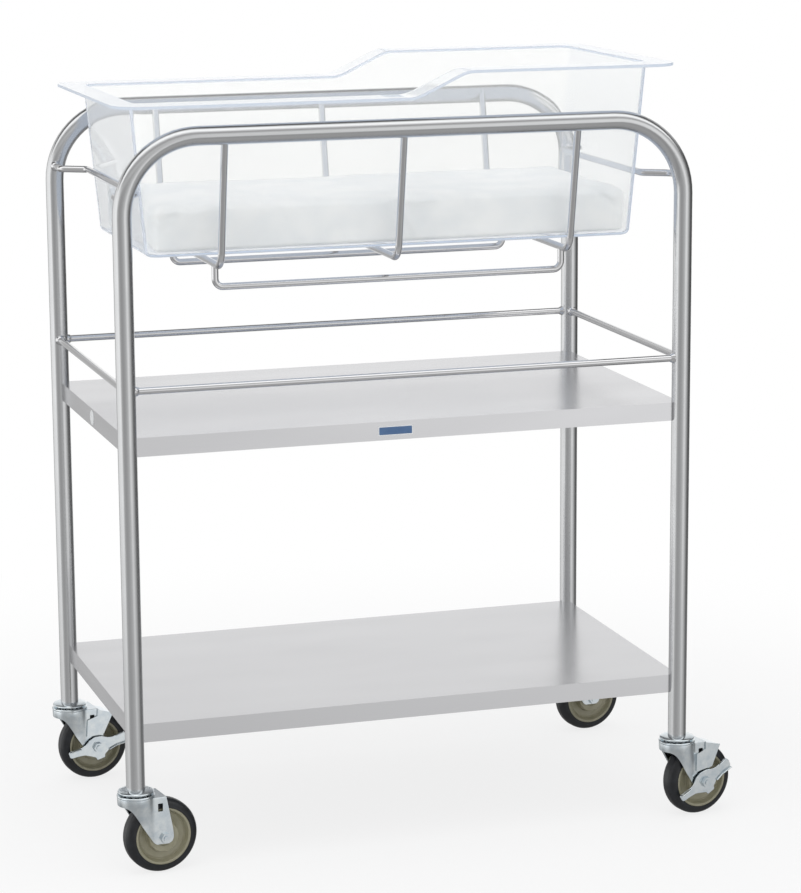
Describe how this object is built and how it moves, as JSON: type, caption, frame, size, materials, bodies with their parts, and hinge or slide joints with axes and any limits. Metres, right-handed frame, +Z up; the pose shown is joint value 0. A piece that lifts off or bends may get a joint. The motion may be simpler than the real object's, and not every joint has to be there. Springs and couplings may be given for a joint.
{
  "type": "hospital bassinet",
  "caption": "Clear lift-out bassinet with mattress on a stainless tube stand with two shelves, guard rails and swivel casters, some with foot brakes.",
  "frame": {"origin": "on the floor, under the middle of the whole object's box", "axes": "+X along the length, towards the end where the basin's rim is higher; +Y from the front side frame to the back one; +Z up"},
  "size_m": [0.885, 0.498, 1.0535],
  "materials": {
    "stainless_tube": "satin polished",
    "stainless_rod": "polished",
    "stainless_sheet": "brushed",
    "blank_plate": "satin, blank",
    "blank_label": "matt, blank",
    "socket_sleeve": "matt",
    "clear_basin": "clear, glossy",
    "mattress_cover": "coated fabric, matt",
    "zinc_steel": "bright zinc plate",
    "bearing_steel": "bright",
    "wheel_core": "matt",
    "wheel_tread": "matt"
  },
  "bodies": {
    "stand": {"front_side_frame": "stainless_tube", "back_side_frame": "stainless_tube", "middle_shelf": "stainless_sheet", "lower_shelf": "stainless_sheet", "guard_rail_front": "stainless_rod", "guard_rail_back": "stainless_rod", "guard_rail_left": "stainless_rod", "guard_rail_right": "stainless_rod", "left_end_brace": "stainless_rod", "right_end_brace": "stainless_rod", "cradle_hoop_left": "stainless_rod", "cradle_hoop_middle": "stainless_rod", "cradle_hoop_right": "stainless_rod", "under_rail_front": "stainless_rod", "under_rail_back": "stainless_rod", "name_plate": "blank_plate", "round_label": "blank_label", "leg_sockets": "socket_sleeve", "caster_stem_fl": "zinc_steel", "caster_top_cap_fl": "zinc_steel", "caster_stem_fr": "zinc_steel", "caster_top_cap_fr": "zinc_steel", "caster_stem_bl": "zinc_steel", "caster_top_cap_bl": "zinc_steel", "caster_stem_br": "zinc_steel", "caster_top_cap_br": "zinc_steel"},
    "swivel_fl": {"caster_fork_fl": "zinc_steel", "swivel_balls_fl": "bearing_steel", "axle_bolt_fl": "zinc_steel", "axle_nut_fl": "zinc_steel"},
    "wheel_fl": {"wheel_core_fl": "wheel_core", "wheel_tread_fl": "wheel_tread", "wheel_bearing_fl": "bearing_steel"},
    "swivel_fr": {"caster_fork_fr": "zinc_steel", "swivel_balls_fr": "bearing_steel", "axle_bolt_fr": "zinc_steel", "axle_nut_fr": "zinc_steel"},
    "wheel_fr": {"wheel_core_fr": "wheel_core", "wheel_tread_fr": "wheel_tread", "wheel_bearing_fr": "bearing_steel"},
    "lever_fr": {"brake_lever_fr": "zinc_steel"},
    "shoe_fr": {"brake_shoe_fr": "zinc_steel"},
    "swivel_bl": {"caster_fork_bl": "zinc_steel", "swivel_balls_bl": "bearing_steel", "axle_bolt_bl": "zinc_steel", "axle_nut_bl": "zinc_steel"},
    "wheel_bl": {"wheel_core_bl": "wheel_core", "wheel_tread_bl": "wheel_tread", "wheel_bearing_bl": "bearing_steel"},
    "lever_bl": {"brake_lever_bl": "zinc_steel"},
    "shoe_bl": {"brake_shoe_bl": "zinc_steel"},
    "swivel_br": {"caster_fork_br": "zinc_steel", "swivel_balls_br": "bearing_steel", "axle_bolt_br": "zinc_steel", "axle_nut_br": "zinc_steel"},
    "wheel_br": {"wheel_core_br": "wheel_core", "wheel_tread_br": "wheel_tread", "wheel_bearing_br": "bearing_steel"},
    "basin": {"basin": "clear_basin"},
    "mattress": {"mattress": "mattress_cover"}
  },
  "joints": [
    {"name": "swivel_fl", "type": "hinge", "parent": "stand", "child": "swivel_fl", "pos_m": [-0.41649, -0.21817, 0.11], "axis": [0, 0, 1], "continuous": true},
    {"name": "wheel_spin_fl", "type": "hinge", "parent": "swivel_fl", "child": "wheel_fl", "pos_m": [-0.38394, -0.21339, 0.0508], "axis": [-0.1452, 0.9894, 0], "continuous": true},
    {"name": "swivel_fr", "type": "hinge", "parent": "stand", "child": "swivel_fr", "pos_m": [0.35821, -0.21817, 0.11], "axis": [0, 0, 1], "continuous": true},
    {"name": "wheel_spin_fr", "type": "hinge", "parent": "swivel_fr", "child": "wheel_fr", "pos_m": [0.3905, -0.21187, 0.0508], "axis": [-0.1913, 0.9815, 0], "continuous": true},
    {"name": "brake_lever_fr", "type": "hinge", "parent": "swivel_fr", "child": "lever_fr", "pos_m": [0.3905, -0.21187, 0.0508], "axis": [-0.1913, 0.9815, 0], "range_deg": [0, 17]},
    {"name": "brake_shoe_fr", "type": "hinge", "parent": "swivel_fr", "child": "shoe_fr", "pos_m": [0.38452, -0.21304, 0.0938], "axis": [-0.1913, 0.9815, 0], "range_deg": [0, 4]},
    {"name": "swivel_bl", "type": "hinge", "parent": "stand", "child": "swivel_bl", "pos_m": [-0.41649, 0.21833, 0.11], "axis": [0, 0, 1], "continuous": true},
    {"name": "wheel_spin_bl", "type": "hinge", "parent": "swivel_bl", "child": "wheel_bl", "pos_m": [-0.38392, 0.22297, 0.0508], "axis": [-0.1409, 0.99, 0], "continuous": true},
    {"name": "brake_lever_bl", "type": "hinge", "parent": "swivel_bl", "child": "lever_bl", "pos_m": [-0.38392, 0.22297, 0.0508], "axis": [-0.1409, 0.99, 0], "range_deg": [-17, 0]},
    {"name": "brake_shoe_bl", "type": "hinge", "parent": "swivel_bl", "child": "shoe_bl", "pos_m": [-0.38995, 0.22211, 0.0938], "axis": [-0.1409, 0.99, 0], "range_deg": [-4, 0]},
    {"name": "swivel_br", "type": "hinge", "parent": "stand", "child": "swivel_br", "pos_m": [0.35821, 0.21833, 0.11], "axis": [0, 0, 1], "continuous": true},
    {"name": "wheel_spin_br", "type": "hinge", "parent": "swivel_br", "child": "wheel_br", "pos_m": [0.39078, 0.22297, 0.0508], "axis": [-0.1409, 0.99, 0], "continuous": true},
    {"name": "basin_lift", "type": "slide", "parent": "stand", "child": "basin", "axis": [0, 0, 1], "range_m": [0, 0.3]},
    {"name": "mattress_lift", "type": "slide", "parent": "basin", "child": "mattress", "axis": [0, 0, 1], "range_m": [0, 0.3]}
  ],
  "couplings": [
    {"joint": "brake_shoe_fr", "follows": "brake_lever_fr", "ratio": 0.23529},
    {"joint": "brake_shoe_bl", "follows": "brake_lever_bl", "ratio": 0.23529}
  ]
}
